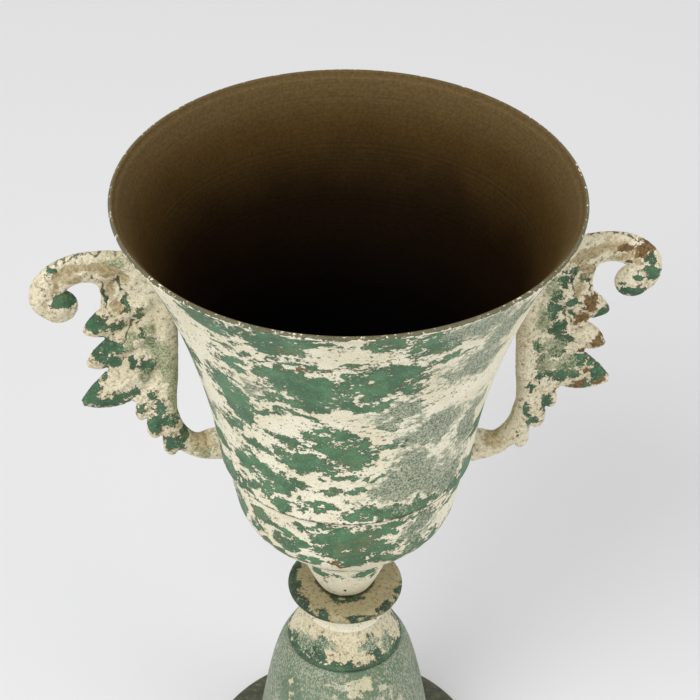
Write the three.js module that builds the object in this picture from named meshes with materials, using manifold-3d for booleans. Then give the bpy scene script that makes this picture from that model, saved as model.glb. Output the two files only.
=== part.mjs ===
// Two-handled urn planter. A flared bell of spun sheet metal nests in the lip of a lower bowl.
// The bowl, neck, knop disc, stem ring, collar, pedestal and base plate are a stack of turned and
// spun pieces, clamped by one tie rod with a nut and washer at each end. Two castings of one
// acanthus-scroll handle are welded to the sides, each at its own angle.
// Millimetres, +Z up. The origin is the middle of the foot, on the surface that the urn stands on.

import * as THREE from 'three';
import { mergeVertices } from 'three/addons/utils/BufferGeometryUtils.js';
import Module from 'manifold-3d';

const wasm = await Module();
wasm.setup();

// ---- Driving dimensions -------------------------------------------------------------------

const sheet = 1.5; // wall of every spun piece
const fit = 0.3; // clearance between pieces that nest, or that a weld joins
const turnFacets = 40; // facets round each large turned or spun piece
const stemFacets = 32; // facets round the smaller pieces of the stem
const boltFacets = 16; // facets round the rod, washers and nuts

// Base plate, with a rolled edge, a flat hem on the ground and a raised middle. The seat is the
// flat ring that the pedestal stands on, from seatInside to seatOutside of the pedestal's foot.
const baseRadius = 103.5;
const baseEdgeRadius = 4;
const baseHemWidth = 11;
const baseSeatHeight = 10;
const seatOutside = 12.2;
const seatInside = 6.8;
const baseBossSlope = 5; // width of the slope between the seat and the raised middle
const baseBossHeight = 15;

// Pedestal: a bell whose radius grows with a power of the depth below its shoulder.
const pedestalHeight = 125.8;
const pedestalShoulderRadius = 40.6;
const pedestalFootRadius = 67.8;
const pedestalPower = 0.55;
const pedestalFlangeWidth = 5;
const pedestalCoveHeight = 6;

// Collar cap: a cone with a rolled lip.
const collarHeight = 27.7;
const collarLipRadius = 41;
const collarLipRoll = 2.2;
const collarTopRadius = 28; // the foot of the stem ring has the same radius

// Stem ring, coved between its two ends.
const stemHeight = 18.5;
const stemTopRadius = 24;
const stemCoveDepth = 1.6;
const stemBore = 19;

// Knop disc with a full round edge.
const knopRadius = 40.5;
const knopThickness = 8.4;

// Neck cone, a little rounded, with an inward flange at both ends and a vent hole.
const neckHeight = 38.1;
const neckFootRadius = 18.8;
const neckTopRadius = 34.8;
const neckPower = 0.86; // the radius grows with this power of the height
const neckFlangeWidth = 8;
const ventRadius = 1.2;
const ventHeight = 10.6;

// Lower bowl: flat floor, cone, rounded shoulder and a slightly tapered wall under a proud lip.
const bowlHeight = 88.7;
const bowlFloorProud = 1.2; // how far the floor's edge stands out over the neck cone
const bowlConeRun = 0.949; // radius gained per millimetre of height on the cone
const bowlShoulderRadius = 40;
const bowlWallRadius = 82.7; // wall radius at the top of the bowl, outside
const bowlWallRun = 0.19; // radius gained per millimetre of height on the wall
const bowlLipProud = 1.1;
const bowlLipHeight = 3.6;

// Upper bell, with a rolled rim and a spigot that goes into the bowl.
const bellHeight = 202.8;
const bellWaistProud = 1.6; // how far the waist stands out over the bowl's lip
const rimRadius = 150;
const rimRoll = 1.6;
const bellStraightShare = 0.33; // share of the flare that is conical, the rest is parabolic
const spigotDepth = 8;
const jointRound = 0.8;

// Tie rod, nuts and washers.
const rodRadius = 4;
const rodEndLength = 3;
const nutAcrossFlats = 13;
const nutHeight = 6.5;
const washerRadius = 8.5;
const washerThickness = 1.6;

// Handles. They are drawn from a datum that lies handleInset inside the edge of the waist and
// handleDrop below it. Each plane is turned about an upright line handlePivot outside the datum.
const handleInset = 1.4;
const handleDrop = 3.7;
const handlePivot = 6;
const rightTurn = THREE.MathUtils.degToRad(8);
const leftTurn = THREE.MathUtils.degToRad(11);
const rightLift = 1.8; // the right handle is welded on a little higher
const leftLift = 0;
const handleWebHalf = 3.2;

// ---- Heights of the stack, from the ground up ------------------------------------------------

const pedestalTop = baseSeatHeight + pedestalHeight;
const collarTop = pedestalTop + collarHeight;
const stemTop = collarTop + stemHeight;
const knopTop = stemTop + knopThickness;
const neckTop = knopTop + neckHeight;
const waist = neckTop + bowlHeight;
const rimTop = waist + bellHeight;

// ---- Sizes that neighbours share ---------------------------------------------------------------

const bore = rodRadius + fit;
const baseSeatOuterRadius = pedestalFootRadius + seatOutside;
const baseSeatInnerRadius = pedestalFootRadius - seatInside;
const baseBossRadius = baseSeatInnerRadius - baseBossSlope;
const stemFootRadius = collarTopRadius;
const bowlFloorRadius = neckTopRadius + bowlFloorProud;
const bellWaistRadius = bowlWallRadius + bowlLipProud + bellWaistProud;
const datumRadius = bellWaistRadius - handleInset;
const datumHeight = waist - handleDrop;

// ---- Finishes ----------------------------------------------------------------------------------

const finish = (color, roughness, metalness) => ({ color, roughness, metalness });
const wornCream = finish(0xd9d2b4, 0.62, 0.15);
const wornGreen = finish(0x8a9f83, 0.66, 0.15);
const darkGreen = finish(0x56654a, 0.6, 0.2);
const taupe = finish(0xa5987d, 0.75, 0.1);
const castCream = finish(0xc9bda0, 0.75, 0.1);
const plainSteel = finish(0x55504a, 0.5, 0.9);

// ---- Helpers -----------------------------------------------------------------------------------

const point = (radius, height) => new THREE.Vector2(radius, height);

// Points along an arc of the given centre, radius and start and end angles in degrees.
function arc(centre, radius, from, to, steps) {
  return Array.from({ length: steps + 1 }, (_, i) => {
    const angle = THREE.MathUtils.degToRad(from + ((to - from) * i) / steps);
    return point(centre.x + radius * Math.cos(angle), centre.y + radius * Math.sin(angle));
  });
}

// The same line moved sideways to its left by a distance, with mitred corners.
function offset(line, distance) {
  return line.map((here, i) => {
    const before = line[Math.max(i - 1, 0)];
    const after = line[Math.min(i + 1, line.length - 1)];
    const first = (i > 0 ? here.clone().sub(before) : after.clone().sub(here)).normalize();
    const second = (i < line.length - 1 ? after.clone().sub(here) : first.clone()).normalize();
    const middle = first.clone().add(second).normalize();
    const mitre = distance / middle.dot(first);
    return point(here.x - middle.y * mitre, here.y + middle.x * mitre);
  });
}

// Rounds the corner of two straight lines with an arc of the given radius.
function fillet(before, corner, after, radius, steps) {
  const back = before.clone().sub(corner).normalize();
  const ahead = after.clone().sub(corner).normalize();
  const half = Math.acos(back.dot(ahead)) / 2;
  const centre = back.clone().add(ahead).normalize().multiplyScalar(radius / Math.sin(half)).add(corner);
  const start = back.multiplyScalar(radius / Math.tan(half)).add(corner).sub(centre);
  const end = ahead.multiplyScalar(radius / Math.tan(half)).add(corner).sub(centre);
  const from = THREE.MathUtils.radToDeg(start.angle());
  const turn = THREE.MathUtils.radToDeg(Math.atan2(start.cross(end), start.dot(end)));
  return arc(centre, radius, from, from + turn, steps);
}

// Turns a closed outline of radius and height about the Z axis. The outline runs anticlockwise.
function revolve(outline, facets = turnFacets) {
  const geometry = new THREE.LatheGeometry([...outline, outline[0]], facets);
  return geometry.rotateX(Math.PI / 2);
}

function solidOf(geometry) {
  const bare = geometry.clone();
  bare.deleteAttribute('normal');
  bare.deleteAttribute('uv');
  const welded = mergeVertices(bare, 1e-4);
  const vertProperties = new Float32Array(welded.attributes.position.array);
  const triVerts = new Uint32Array(welded.index.array);
  return new wasm.Manifold(new wasm.Mesh({ numProp: 3, vertProperties, triVerts }));
}

function geometryOf(solid) {
  const mesh = solid.getMesh();
  const geometry = new THREE.BufferGeometry();
  geometry.setAttribute('position', new THREE.BufferAttribute(mesh.vertProperties, 3));
  geometry.setIndex(new THREE.BufferAttribute(mesh.triVerts, 1));
  geometry.computeVertexNormals();
  return geometry;
}

// ---- Profiles that neighbours share --------------------------------------------------------------

const bellRise = (height) => (height - waist) / bellHeight;

// Outer radius of the bell's sheet at a height above the ground.
function bellRadius(height) {
  const t = bellRise(height);
  const top = rimRadius - 2 * rimRoll + sheet;
  const flare = bellStraightShare * t + (1 - bellStraightShare) * t * t;
  return bellWaistRadius + (top - bellWaistRadius) * flare;
}

// Heights of the bell's rings, from its rounded foot to the foot of the rolled rim.
const flareFoot = waist + jointRound;
const flareTop = rimTop - 2 * rimRoll;
const flareHeights = Array.from({ length: 10 }, (_, i) => flareFoot + ((flareTop - flareFoot) * i) / 9);

const bowlWall = (height) => bowlWallRadius - bowlWallRun * (waist - height);
const bowlWallInside = (height) => bowlWall(height) - sheet * Math.hypot(1, bowlWallRun);

// Height at which the bowl's cone and wall would meet in a corner.
const bowlCornerHeight =
  neckTop + (bowlWall(neckTop) - bowlFloorRadius) / (bowlConeRun - bowlWallRun);

// ---- Turned and spun pieces -------------------------------------------------------------------------

function basePlate() {
  const edge = point(baseRadius - baseEdgeRadius, baseEdgeRadius);
  const top = [
    point(bore, baseBossHeight),
    point(baseBossRadius, baseBossHeight),
    point(baseSeatInnerRadius, baseSeatHeight),
    point(baseSeatOuterRadius, baseSeatHeight),
    ...arc(edge, baseEdgeRadius, 90, -90, 4),
    point(edge.x - baseHemWidth, 0),
  ];
  const outside = [...top].reverse();
  return revolve([...outside, ...offset(outside, sheet).reverse()]);
}

function pedestalBell() {
  const cove = baseSeatHeight + pedestalCoveHeight;
  const radiusAt = (height) => {
    const depth = (pedestalTop - height) / pedestalHeight;
    return pedestalShoulderRadius + (pedestalFootRadius - pedestalShoulderRadius) * depth ** pedestalPower;
  };
  const flange = point(radiusAt(cove) + pedestalFlangeWidth, baseSeatHeight + sheet);
  const curve = Array.from({ length: 8 }, (_, i) => {
    const height = cove + (pedestalTop - cove) * (1 - (1 - i / 7) ** 2.4);
    return point(radiusAt(height), height);
  });
  const coveMiddle = point(radiusAt(cove) + pedestalFlangeWidth * 0.3, cove - pedestalCoveHeight * 0.5);
  const outside = [flange, coveMiddle, ...curve, point(stemBore, pedestalTop)];
  return revolve([...outside, ...offset(outside, sheet).reverse()]);
}

function collarCap() {
  const lip = point(collarLipRadius - collarLipRoll, pedestalTop + collarLipRoll);
  const outside = [
    ...arc(lip, collarLipRoll, -90, 70, 4),
    point(collarTopRadius, collarTop),
    point(stemBore, collarTop),
  ];
  const inside = [
    point(stemBore, collarTop - sheet),
    point(collarTopRadius - sheet, collarTop - sheet),
    point(lip.x - collarLipRoll, lip.y + collarLipRoll * 0.6),
    point(lip.x - collarLipRoll * 0.8, lip.y - collarLipRoll * 0.6),
  ];
  return revolve([...outside, ...inside], stemFacets);
}

function stemRing() {
  const cove = Array.from({ length: 5 }, (_, i) => {
    const t = i / 4;
    const straight = stemFootRadius + (stemTopRadius - stemFootRadius) * t;
    return point(straight - stemCoveDepth * Math.sin(Math.PI * t), collarTop + stemHeight * t);
  });
  return revolve([...cove, point(stemBore, stemTop), point(stemBore, collarTop)], stemFacets);
}

function knopDisc() {
  const edge = point(knopRadius - knopThickness / 2, stemTop + knopThickness / 2);
  return revolve(
    [point(bore, stemTop), ...arc(edge, knopThickness / 2, -90, 90, 6), point(bore, knopTop)],
    stemFacets);
}

function neckCone() {
  const wall = Array.from({ length: 4 }, (_, i) => {
    const t = i / 3;
    const radius = neckFootRadius + (neckTopRadius - neckFootRadius) * t ** neckPower;
    return point(radius, knopTop + neckHeight * t);
  });
  const outside = [
    point(neckFootRadius - neckFlangeWidth, knopTop),
    ...wall,
    point(neckTopRadius - neckFlangeWidth, neckTop),
  ];
  const body = solidOf(revolve([...outside, ...offset(outside, sheet).reverse()], stemFacets));
  const vent = new THREE.CylinderGeometry(ventRadius, ventRadius, neckTopRadius, 12);
  vent.translate(0, -neckTopRadius / 2 - neckFootRadius / 2, knopTop + ventHeight);
  return geometryOf(body.subtract(solidOf(vent)));
}

function lowerBowl() {
  const corner = point(bowlWall(bowlCornerHeight), bowlCornerHeight);
  const floorEdge = point(bowlFloorRadius, neckTop);
  const wallTop = point(bowlWall(waist), waist);
  const shell = [
    point(bore, neckTop),
    floorEdge,
    ...fillet(floorEdge, corner, wallTop, bowlShoulderRadius, 4),
    point(bowlWall(waist - bowlLipHeight), waist - bowlLipHeight),
  ];
  const lip = [
    point(bowlWall(waist) + bowlLipProud, waist - bowlLipHeight * 0.6),
    point(bowlWall(waist) + bowlLipProud, waist - jointRound),
    point(bowlWall(waist) + bowlLipProud - jointRound, waist),
    point(bowlWallInside(waist), waist),
  ];
  return revolve([...shell, ...lip, ...offset(shell, sheet).reverse()]);
}

function upperBell() {
  const rollCentre = point(rimRadius - rimRoll, rimTop - rimRoll);
  const flare = flareHeights.map((height) => point(bellRadius(height), height));
  const spigotTop = bowlWallInside(waist) - fit;
  const spigotFoot = bowlWallInside(waist - spigotDepth) - fit;
  return revolve([
    point(spigotTop, waist),
    point(bellWaistRadius - jointRound, waist),
    ...flare,
    ...arc(rollCentre, rimRoll, -45, 180, 5),
    ...offset(flare, sheet).reverse().slice(1, -1),
    point(spigotTop - sheet, waist + sheet),
    point(spigotFoot - sheet, waist - spigotDepth),
    point(spigotFoot, waist - spigotDepth),
  ]);
}

// ---- Tie rod, washers and nuts -----------------------------------------------------------------------

const upperSeat = neckTop + sheet;
const lowerSeat = baseBossHeight - sheet;
const rodTop = upperSeat + washerThickness + nutHeight + rodEndLength;
const rodFoot = lowerSeat - washerThickness - nutHeight - rodEndLength / 2;

function tieRod() {
  const chamfer = rodRadius * 0.2;
  return revolve([
    point(0, rodFoot),
    point(rodRadius - chamfer, rodFoot),
    point(rodRadius, rodFoot + chamfer),
    point(rodRadius, rodTop - chamfer),
    point(rodRadius - chamfer, rodTop),
    point(0, rodTop),
  ], boltFacets);
}

function washer(foot) {
  const outline = [[bore, 0], [washerRadius, 0], [washerRadius, washerThickness], [bore, washerThickness]];
  return revolve(outline.map(([radius, height]) => point(radius, foot + height)), boltFacets);
}

// A hexagonal bar with a bore, its top and foot corners turned off by a cone.
function nut(foot) {
  const cornerRadius = nutAcrossFlats / 2 / Math.cos(Math.PI / 6);
  const bevel = cornerRadius - nutAcrossFlats / 2;
  const bar = new THREE.CylinderGeometry(cornerRadius, cornerRadius, nutHeight, 6);
  bar.rotateX(Math.PI / 2).translate(0, 0, foot + nutHeight / 2);
  const turned = revolve([
    point(bore, foot),
    point(nutAcrossFlats / 2, foot),
    point(cornerRadius + fit, foot + bevel),
    point(cornerRadius + fit, foot + nutHeight - bevel),
    point(nutAcrossFlats / 2, foot + nutHeight),
    point(bore, foot + nutHeight),
  ], boltFacets);
  return geometryOf(solidOf(bar).intersect(solidOf(turned)));
}

// ---- Handles --------------------------------------------------------------------------------------------

// A limb of the casting: an elliptical section carried along a smooth line in the handle's plane.
// Each station is [distance from the axis, height, half width in the plane, half depth].
function limb(stations, steps, sides = 10) {
  const centres = stations.map(([x, z]) => new THREE.Vector3(x, 0, z));
  const line = new THREE.CatmullRomCurve3(centres, false, 'centripetal');
  const girth = new THREE.CatmullRomCurve3(stations.map(([, , w, d]) => new THREE.Vector3(w, d, 0)));
  const positions = [];
  for (let i = 0; i <= steps; i += 1) {
    const along = (i / steps) * (stations.length - 1);
    const share = along / (stations.length - 1);
    const centre = line.getPoint(share);
    const tangent = line.getTangent(share);
    const size = girth.getPoint(share);
    for (let j = 0; j < sides; j += 1) {
      const angle = (2 * Math.PI * j) / sides;
      const across = size.x * Math.cos(angle);
      positions.push(centre.x - tangent.z * across, size.y * Math.sin(angle), centre.z + tangent.x * across);
    }
  }
  const ends = [line.getPoint(0), line.getPoint(1)];
  ends.forEach((end) => positions.push(end.x, end.y, end.z));
  const first = (steps + 1) * sides;
  const faces = [];
  for (let j = 0; j < sides; j += 1) {
    const next = (j + 1) % sides;
    for (let i = 0; i < steps; i += 1) {
      const low = i * sides;
      faces.push(low + j, low + sides + j, low + next, low + next, low + sides + j, low + sides + next);
    }
    faces.push(first, j, next, first + 1, steps * sides + next, steps * sides + j);
  }
  const geometry = new THREE.BufferGeometry();
  geometry.setAttribute('position', new THREE.Float32BufferAttribute(positions, 3));
  geometry.setIndex(faces);
  return geometry;
}

// The handle is drawn outwards and upwards from its datum.
const fromDatum = ([x, z, ...girth]) => [datumRadius + x, datumHeight + z, ...girth];

const stem = [
  [28, 136, 10, 6], [33.5, 112, 8, 6], [34, 85, 7, 6.5], [35, 62, 7, 6.5], [36.5, 44, 7, 6.5],
  [35.5, 27, 7.3, 6.5], [28.5, 10.5, 8, 7], [19, 2.2, 8.2, 7.8], [12, 0.5, 10.2, 8.6],
  [5, 0.8, 11.8, 9.4], [-8, 0.8, 12.4, 10],
];
const scroll = [
  [28, 136, 20, 5.5], [47, 147, 17, 5.5], [63, 154, 13.5, 5.5], [76, 157, 12, 5.5],
  [89, 157.2, 11, 5.5], [100, 153, 10.8, 5.5], [108, 144.5, 11, 5.6], [109.4, 135, 10.8, 6],
  [105, 129.5, 10, 6], [101, 129.5, 8, 5],
];
const eye = { x: 102, z: 129.6, radius: 12.4, halfDepth: 7 };
const lobes = [
  [[44, 128, 9, 5], [60, 121, 10.5, 5], [73, 112.3, 11, 4.6], [82.5, 108.2, 6.8, 3.6], [87.6, 106, 2, 1.4]],
  [[42, 104, 9, 5], [58, 96.5, 10.5, 5], [71, 88.2, 10.3, 4.6], [81.5, 81.6, 6.8, 3.4], [87, 79.4, 2, 1.4]],
  [[40, 82, 9, 5], [54, 70.5, 13, 5], [68, 58.8, 15.2, 4.6], [82.8, 51.6, 9.6, 3.4], [92.2, 48.4, 2.6, 1.4]],
  [[37, 64, 7, 5], [44, 52, 8, 4.8], [49.5, 41, 7.2, 4.2], [53, 33, 5, 3], [54.2, 29, 2, 1.4]],
  [[35, 48, 6.5, 5], [40, 36, 7.4, 4.8], [43.6, 24, 7, 4.2], [44.8, 15.6, 5.2, 3], [45.2, 12, 2, 1.4]],
  [[33.6, 28, 5, 5], [33.4, 18, 6.4, 4.8], [34, 7, 6.4, 4.2], [34.6, -1, 4.8, 3], [34.6, -4.6, 2, 1.4]],
];
const web = [
  [24, 120], [44, 150], [66, 153], [82, 149], [76, 143], [74.6, 134], [76, 118], [74, 98], [73, 74],
  [60, 48], [49, 40], [40, 18], [31, 4], [22, 4], [31, 40], [31, 90],
];

function handle() {
  const outline = new THREE.Shape(web.map((corner) => point(...fromDatum(corner))));
  const plate = new THREE.ExtrudeGeometry(outline, { depth: 2 * handleWebHalf, bevelEnabled: false });
  plate.translate(0, 0, -handleWebHalf).rotateX(Math.PI / 2);
  const boss = new THREE.SphereGeometry(eye.radius, 14, 7);
  boss.scale(1, eye.halfDepth / eye.radius, 1);
  boss.translate(datumRadius + eye.x, 0, datumHeight + eye.z);
  let casting = solidOf(plate).add(solidOf(boss));
  casting = casting.add(solidOf(limb(stem.map(fromDatum), 14)));
  casting = casting.add(solidOf(limb(scroll.map(fromDatum), 14)));
  lobes.forEach((lobe) => {
    casting = casting.add(solidOf(limb(lobe.map(fromDatum), 5, 8)));
  });
  return casting;
}

// The urn's outer surface with the weld clearance, from below the waist to the rim.
function bodyPlug() {
  const low = waist - 2 * spigotDepth;
  return revolve([
    point(0, low),
    point(bowlWall(low) + fit, low),
    point(bowlWall(waist - bowlLipHeight) + fit, waist - bowlLipHeight),
    point(bowlWall(waist) + bowlLipProud + fit, waist - bowlLipHeight * 0.6),
    point(bowlWall(waist) + bowlLipProud + fit, waist - fit),
    point(bellWaistRadius - jointRound + fit, waist - fit),
    ...flareHeights.map((height) => point(bellRadius(height) + fit, height)),
    point(0, flareTop),
  ]);
}

// A handle on +X: lifted, turned in plan about its foot, then cut to the urn's side.
function weldedHandle(casting, turn, lift) {
  const foot = datumRadius + handlePivot;
  const placed = geometryOf(casting);
  placed.translate(-foot, 0, lift).rotateZ(turn).translate(foot, 0, 0);
  return geometryOf(solidOf(placed).subtract(solidOf(bodyPlug())));
}

// ---- The urn -----------------------------------------------------------------------------------

const group = new THREE.Group();

function add(name, geometry, look) {
  const mesh = new THREE.Mesh(geometry, new THREE.MeshStandardMaterial(look));
  mesh.name = name;
  group.add(mesh);
  return mesh;
}

const casting = handle();

add('upper_bell', upperBell(), wornCream);
add('lower_bowl', lowerBowl(), wornCream);
add('neck_cone', neckCone(), wornCream);
add('knop_disc', knopDisc(), taupe);
add('stem_ring', stemRing(), wornCream);
add('collar_cap', collarCap(), wornCream);
add('pedestal_bell', pedestalBell(), wornGreen);
add('base_plate', basePlate(), darkGreen);
add('handle_right', weldedHandle(casting, rightTurn, rightLift), castCream);
const left = add('handle_left', weldedHandle(casting, leftTurn, leftLift), castCream);
left.rotation.z = Math.PI;
add('tie_rod', tieRod(), plainSteel);
add('top_washer', washer(upperSeat), plainSteel);
add('top_nut', nut(upperSeat + washerThickness), plainSteel);
add('bottom_washer', washer(lowerSeat - washerThickness), plainSteel);
add('bottom_nut', nut(lowerSeat - washerThickness - nutHeight), plainSteel);

export default group;
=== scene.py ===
# %% [markdown]
# # A worn urn planter with two scroll handles
# The urn is a stack of spun steel shells clamped by one rod, with two castings welded to its
# sides. Every shell was painted green, then cream, and then rubbed and chipped back. The script
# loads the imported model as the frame, replaces its faceted solids with fine surfaces in the same
# places, and gives each a finish built from nodes. Lengths are in millimetres until a mesh is
# made, because that is how a spinner's drawing reads.

# %% Load the frame
from math import cos, radians, sin

import bpy
import numpy as np
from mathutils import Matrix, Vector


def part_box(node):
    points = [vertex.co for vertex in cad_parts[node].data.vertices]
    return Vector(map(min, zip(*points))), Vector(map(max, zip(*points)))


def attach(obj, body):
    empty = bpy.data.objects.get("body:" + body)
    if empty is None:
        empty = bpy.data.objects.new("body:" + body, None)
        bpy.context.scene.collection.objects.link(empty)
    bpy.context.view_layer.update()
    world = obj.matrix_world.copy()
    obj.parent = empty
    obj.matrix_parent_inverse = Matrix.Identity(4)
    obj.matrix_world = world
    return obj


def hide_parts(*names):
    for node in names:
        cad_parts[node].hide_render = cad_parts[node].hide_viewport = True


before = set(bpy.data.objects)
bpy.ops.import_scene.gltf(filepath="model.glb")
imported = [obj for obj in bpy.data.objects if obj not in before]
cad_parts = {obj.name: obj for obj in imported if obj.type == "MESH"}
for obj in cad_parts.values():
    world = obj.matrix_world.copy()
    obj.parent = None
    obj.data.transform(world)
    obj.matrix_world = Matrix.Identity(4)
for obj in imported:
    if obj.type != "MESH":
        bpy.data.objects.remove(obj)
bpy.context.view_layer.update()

MM = 0.001


def linked(name, data):
    """A new object in the scene with the given data."""
    made = bpy.data.objects.new(name, data)
    bpy.context.scene.collection.objects.link(made)
    return made

# %% [markdown]
# ## The camera
# The photograph looks down about 38 degrees with a long lens. The camera could be aimed with a
# constraint, but the angles are known from the ellipses of the rim and the rings, so its three
# axes are worked out from them and written into its matrix.

# %% Camera
from mathutils import Matrix, Vector

TILT, YAW, ROLL = radians(37.82), radians(0.09), radians(-0.56)
CAMERA_Y, CAMERA_Z = -1.19415, 1.32239
look = np.array([sin(YAW) * cos(TILT), cos(YAW) * cos(TILT), -sin(TILT)])
right = np.cross(look, (0, 0, 1))
right /= np.linalg.norm(right)
down = np.cross(look, right)
side = cos(ROLL) * right + sin(ROLL) * down
drop = -sin(ROLL) * right + cos(ROLL) * down

camera = linked("Camera", bpy.data.cameras.new("Camera"))
camera.matrix_world = Matrix([
    [side[0], -drop[0], -look[0], 0.0],
    [side[1], -drop[1], -look[1], CAMERA_Y],
    [side[2], -drop[2], -look[2], CAMERA_Z],
    [0, 0, 0, 1],
])
camera.data.lens, camera.data.sensor_width, camera.data.clip_end = 118.29, 36, 50
bpy.context.scene.camera = camera
bpy.context.scene.view_settings.view_transform = "Standard"
print("camera stands", round(float(np.hypot(CAMERA_Y, CAMERA_Z)), 2), "m from the foot of the urn")

# %% [markdown]
# ## Heights of the stack
# Neighbouring shells meet face to face, so each height is read from the frame and used by both.
# The radii are the ones that the lathe drawings of the shells give.

# %% Heights and shared radii
def low(node):
    """Lowest height of a node, in millimetres."""
    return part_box(node)[0].z / MM


def high(node):
    """Highest height of a node, in millimetres."""
    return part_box(node)[1].z / MM


joints = [high(name) for name in (
    "pedestal_bell", "collar_cap", "stem_ring", "knop_disc", "neck_cone", "lower_bowl",
    "upper_bell",
)]
PEDESTAL_TOP, COLLAR_TOP, STEM_TOP, KNOP_TOP, NECK_TOP, WAIST, RIM_TOP = joints
print("joints at", [round(height, 1) for height in joints])

SHEET, BORE = 1.5, 4.3
WAIST_RADIUS, RIM_RADIUS, RIM_ROLL = 85.4, 150.0, 1.6
EVEN, CURVED = 0.33, 0.67
BOWL_RADIUS, BOWL_RUN = 82.7, 0.19


def bell_radius(height):
    """Outer radius of the bell: a third of the flare grows evenly with the height and the rest
    with its square."""
    t = (height - WAIST) / (RIM_TOP - WAIST)
    spread = RIM_RADIUS - 2 * RIM_ROLL + SHEET - WAIST_RADIUS
    return WAIST_RADIUS + spread * (EVEN * t + CURVED * t * t)


def bowl_wall(height):
    """Outer radius of the bowl's wall, which loses 0.19 mm for each millimetre below the waist."""
    return BOWL_RADIUS - BOWL_RUN * (WAIST - height)

# %% [markdown]
# ## Turning a profile
# Each shell is a closed outline of radius and height turned about the upright axis. A Screw
# modifier would do, but working the grid out with numpy keeps every point known, so the marks of
# wear can be laid on the same points later. Corners of the outline are short arcs, because a
# spun edge is never sharp.

# %% Profile tools
def arc(radius, height, size, start, end, count=8):
    """Points on a circle of a size about (radius, height), between two angles in degrees."""
    angle = np.radians(np.linspace(start, end, count + 1))
    return np.column_stack([radius + size * np.cos(angle), height + size * np.sin(angle)])


def corner(before, at, after, size, count=8):
    """A corner of two straight lines rounded by an arc of the given size that touches both."""
    before, at, after = (np.asarray(p, float) for p in (before, at, after))
    back = (before - at) / np.linalg.norm(before - at)
    ahead = (after - at) / np.linalg.norm(after - at)
    half = np.arccos(np.clip(back @ ahead, -1, 1)) / 2
    middle = (back + ahead) / np.linalg.norm(back + ahead)
    centre = at + middle * size / np.sin(half)
    first = at + back * size / np.tan(half) - centre
    last = at + ahead * size / np.tan(half) - centre
    start = np.arctan2(first[1], first[0])
    turn = np.arctan2(first[0] * last[1] - first[1] * last[0], first @ last)
    angle = start + np.linspace(0, turn, count + 1)
    return centre + size * np.column_stack([np.cos(angle), np.sin(angle)])


def line(*parts):
    """Points and runs of points joined into one line."""
    return np.vstack([np.atleast_2d(np.asarray(p, float)) for p in parts])


def refine(points, step=1.5):
    """The same line with each long side cut into equal pieces no longer than step."""
    runs = [points[:1]]
    for a, b in zip(points[:-1], points[1:]):
        count = max(1, int(np.ceil(np.linalg.norm(b - a) / step)))
        runs.append(a + (b - a) * np.linspace(0, 1, count + 1)[1:, None])
    return np.vstack(runs)


def inner(points, wall=SHEET):
    """The line moved to its left by the wall, along the mean of the two sides at each point."""
    along = np.diff(points, axis=0)
    along /= np.linalg.norm(along, axis=1)[:, None]
    before, after = np.vstack([along[:1], along]), np.vstack([along, along[-1:]])
    middle = before + after
    middle /= np.linalg.norm(middle, axis=1)[:, None]
    reach = wall / np.maximum((middle * after).sum(1), 0.35)
    return points + reach[:, None] * np.column_stack([-middle[:, 1], middle[:, 0]])


def spun(outside, step=1.5, wall=SHEET):
    """Outline of a spun shell: the outside, then the inside back again."""
    outside = refine(line(outside), step)
    return np.vstack([outside, inner(outside, wall)[::-1]])


def closed(outline, step):
    """A closed outline, each of its sides cut as refine does."""
    return refine(np.vstack([outline, outline[:1]]), step)[:-1]

# %% [markdown]
# A hand-spun shell is never quite round. The same gentle waves run through the whole stack, so
# the shells lean in and out together and still meet.

# %% Waves and turned grids
def waves(places, length, seed, count=28):
    """Smooth noise from about -1 to 1: a sum of cosines of one wavelength in random directions."""
    random = np.random.default_rng(seed)
    heading = random.normal(size=(count, 3))
    heading *= 2 * np.pi / length / np.linalg.norm(heading, axis=1)[:, None]
    phase = random.uniform(0, 2 * np.pi, count)
    total = np.zeros(len(places))
    for direction, start in zip(heading, phase):
        total += np.cos(places @ direction + start)
    return total * np.sqrt(2 / count) * 0.7


def sway(places, most=0.22):
    """Moves points in or out by a small wave of their direction and height."""
    radius = np.maximum(np.hypot(places[:, 0], places[:, 1]), 1e-6)
    facing = np.column_stack([places[:, 0] / radius * 60, places[:, 1] / radius * 60, places[:, 2]])
    share = 1 + most * waves(facing, 110, 4) / np.maximum(radius, 30)
    return places * np.column_stack([share, share, np.ones(len(places))])


def turned(outline, facets):
    """Corners and faces of a closed outline turned about Z: point i at angle a is
    (r cos a, r sin a, z). An outline that begins and ends on the axis gets one point there in
    place of a ring."""
    on_axis = int(outline[0][0] < 1e-6)
    ring = outline[1:-1] if on_axis else outline
    spoke = np.arange(facets)
    angle = spoke * 2 * np.pi / facets
    places = np.empty((len(ring), facets, 3))
    places[..., 0] = ring[:, :1] * np.cos(angle)
    places[..., 1] = ring[:, :1] * np.sin(angle)
    places[..., 2] = ring[:, 1:]
    places = places.reshape(-1, 3)
    row = np.arange(len(ring) - on_axis)[:, None]
    here, above, beside = row * facets, (row + 1) % len(ring) * facets, (spoke + 1) % facets
    quads = np.stack([here + spoke, here + beside, above + beside, above + spoke], -1)
    faces = quads.reshape(-1, 4).tolist()
    if on_axis:
        foot, last = np.full(facets, len(places)), (len(ring) - 1) * facets
        places = np.vstack([places, [0, 0, outline[0][1]], [0, 0, outline[-1][1]]])
        faces += np.column_stack([foot, beside, spoke]).tolist()
        faces += np.column_stack([foot + 1, last + spoke, last + beside]).tolist()
    return places, faces

# %% [markdown]
# Every piece rides on the frame and stands for one node of the CAD. Simple surfaces could come
# from Blender's own primitives, but here each is a grid of points, set in one go.

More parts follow.
